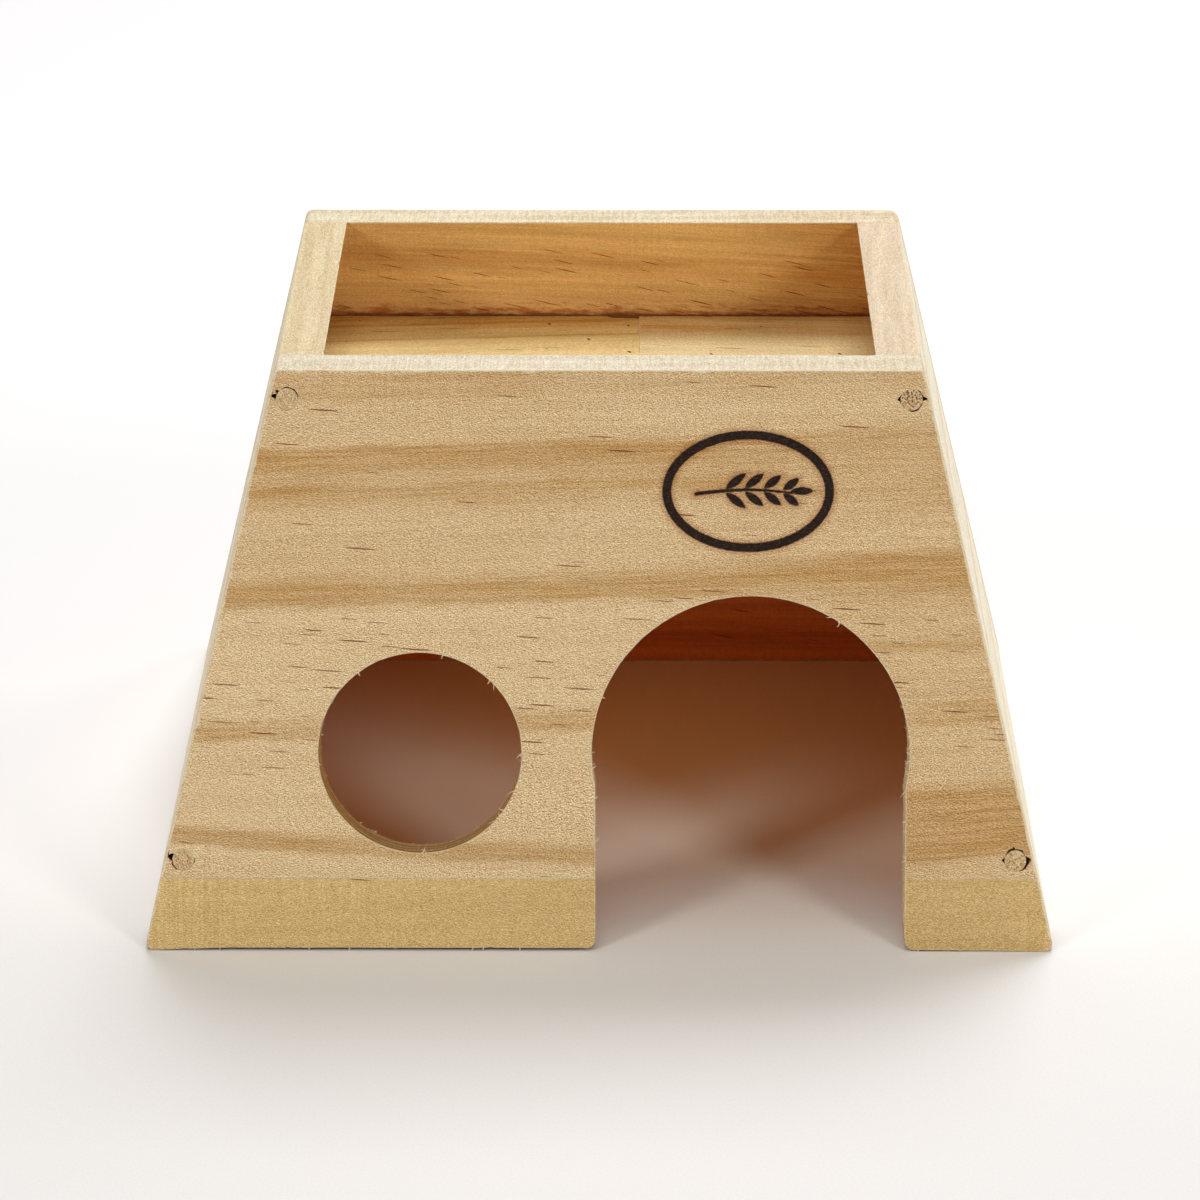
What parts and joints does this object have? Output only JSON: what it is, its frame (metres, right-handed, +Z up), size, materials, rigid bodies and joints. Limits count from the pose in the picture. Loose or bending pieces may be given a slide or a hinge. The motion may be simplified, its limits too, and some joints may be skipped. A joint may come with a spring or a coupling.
{
  "type": "wooden hamster house",
  "caption": "Leaning-sided pine hideout for a hamster, with a round window, a keyhole doorway, an open foot and a deck let in below the rim as a tray.",
  "frame": {"origin": "on the ground, at the centre of the foot's outline", "axes": "+X to the right and +Y to the back as seen from the front with the doorway, +Z up"},
  "size_m": [0.1646, 0.1436, 0.103],
  "materials": {
    "front_pine": "sanded, raw pine, flat grain across the front",
    "back_pine": "sanded, raw pine",
    "side_pine": "sanded, raw pine",
    "deck_pine": "sanded, raw pine, paler",
    "pin_pine": "end grain, sanded flush"
  },
  "bodies": {
    "root": {"front_board": "front_pine", "front_strip_left": "front_pine", "front_strip_right": "front_pine", "back_board": "back_pine", "side_board_left": "side_pine", "side_board_right": "side_pine", "deck_board_left": "deck_pine", "deck_board_right": "deck_pine", "pin_front_upper_left": "pin_pine", "pin_front_upper_right": "pin_pine", "pin_front_lower_left": "pin_pine", "pin_front_lower_right": "pin_pine", "pin_back_upper_left": "pin_pine", "pin_back_upper_right": "pin_pine", "pin_back_lower_left": "pin_pine", "pin_back_lower_right": "pin_pine"}
  },
  "joints": []
}
